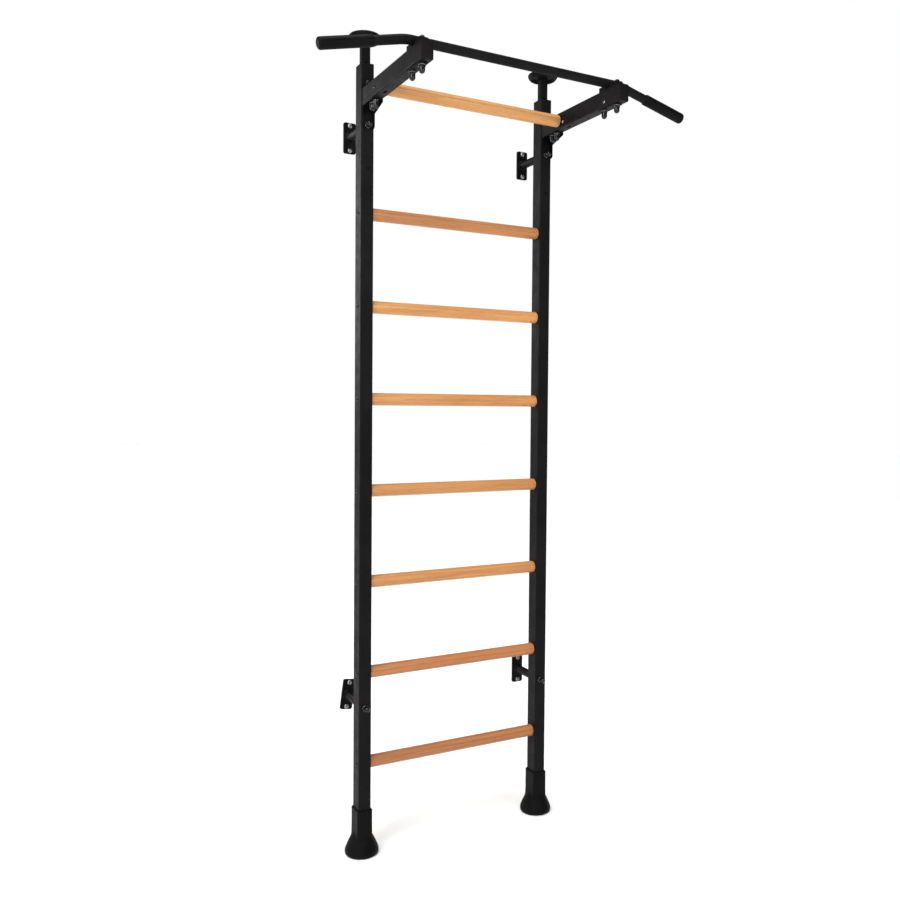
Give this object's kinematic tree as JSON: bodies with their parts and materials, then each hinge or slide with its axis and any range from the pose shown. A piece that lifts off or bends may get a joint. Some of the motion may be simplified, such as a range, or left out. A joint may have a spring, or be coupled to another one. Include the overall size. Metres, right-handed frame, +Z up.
{
  "type": "wall ladder with pull-up bar",
  "caption": "Wall-fixed gymnastics ladder with two black steel uprights, round beech rungs, a forward pull-up bar, rubber feet, ceiling props and swivelling wall brackets.",
  "frame": {"origin": "On the floor, on the wall plane, midway between the two uprights.", "axes": "+Z up; +Y into the wall the ladder is fixed to, so the user stands on the -Y side; +X along the rungs."},
  "size_m": [1.1794, 0.613, 2.49],
  "materials": {
    "black_steel": "satin black powder coat",
    "black_rubber": "moulded black rubber",
    "black_plastic": "moulded black plastic",
    "beech": "clear satin lacquer over beech",
    "zinc_steel": "zinc plated",
    "black_fasteners": "black oxide"
  },
  "bodies": {
    "frame": {"left_upright": "black_steel", "right_upright": "black_steel", "left_foot": "black_rubber", "right_foot": "black_rubber", "left_top_guide": "black_plastic", "right_top_guide": "black_plastic", "rung_1": "beech", "rung_2": "beech", "rung_3": "beech", "rung_4": "beech", "rung_5": "beech", "rung_6": "beech", "rung_7": "beech", "rung_8": "beech", "rung_inserts": "zinc_steel", "left_rung_screws": "black_fasteners", "right_rung_screws": "black_fasteners", "left_arm": "black_steel", "right_arm": "black_steel", "left_arm_cap": "black_plastic", "right_arm_cap": "black_plastic", "arm_bolts": "zinc_steel", "arm_side_screws": "zinc_steel", "weld_nuts": "zinc_steel", "left_gusset": "black_steel", "right_gusset": "black_steel", "gusset_bolts": "zinc_steel", "bracket_rods": "zinc_steel", "hole_plugs": "black_plastic", "lock_screws": "black_fasteners", "pull_up_bar": "black_steel", "left_grip": "black_rubber", "right_grip": "black_rubber", "left_saddle": "black_steel", "right_saddle": "black_steel", "left_backing_plate": "black_steel", "right_backing_plate": "black_steel", "saddle_bolts": "black_fasteners", "acorn_nuts": "black_fasteners", "nut_washers": "zinc_steel"},
    "left_prop": {"left_prop_tube": "black_steel", "left_prop_glide": "black_plastic", "left_prop_plug": "zinc_steel", "left_ceiling_pad": "black_rubber", "left_pad_screw": "zinc_steel"},
    "right_prop": {"right_prop_tube": "black_steel", "right_prop_glide": "black_plastic", "right_prop_plug": "zinc_steel", "right_ceiling_pad": "black_rubber", "right_pad_screw": "zinc_steel"},
    "upper_left_plate": {"upper_left_bracket": "black_steel", "upper_left_wall_screws": "zinc_steel"},
    "upper_right_plate": {"upper_right_bracket": "black_steel", "upper_right_wall_screws": "zinc_steel"},
    "lower_left_plate": {"lower_left_bracket": "black_steel", "lower_left_wall_screws": "zinc_steel"},
    "lower_right_plate": {"lower_right_bracket": "black_steel", "lower_right_wall_screws": "zinc_steel"}
  },
  "joints": [
    {"name": "left_prop_slide", "type": "slide", "parent": "frame", "child": "left_prop", "axis": [0, 0, 1], "range_m": [-0.04, 0.055]},
    {"name": "right_prop_slide", "type": "slide", "parent": "frame", "child": "right_prop", "axis": [0, 0, 1], "range_m": [-0.04, 0.055]},
    {"name": "upper_left_swivel", "type": "hinge", "parent": "frame", "child": "upper_left_plate", "pos_m": [-0.315, -0.004, 2.218], "axis": [0, 1, 0], "range_deg": [-90, 90]},
    {"name": "upper_right_swivel", "type": "hinge", "parent": "frame", "child": "upper_right_plate", "pos_m": [0.315, -0.004, 2.218], "axis": [0, 1, 0], "range_deg": [-90, 90]},
    {"name": "lower_left_swivel", "type": "hinge", "parent": "frame", "child": "lower_left_plate", "pos_m": [-0.315, -0.004, 0.456], "axis": [0, 1, 0], "range_deg": [-97.5, 82.5]},
    {"name": "lower_right_swivel", "type": "hinge", "parent": "frame", "child": "lower_right_plate", "pos_m": [0.315, -0.004, 0.456], "axis": [0, 1, 0], "range_deg": [-90, 90]}
  ]
}
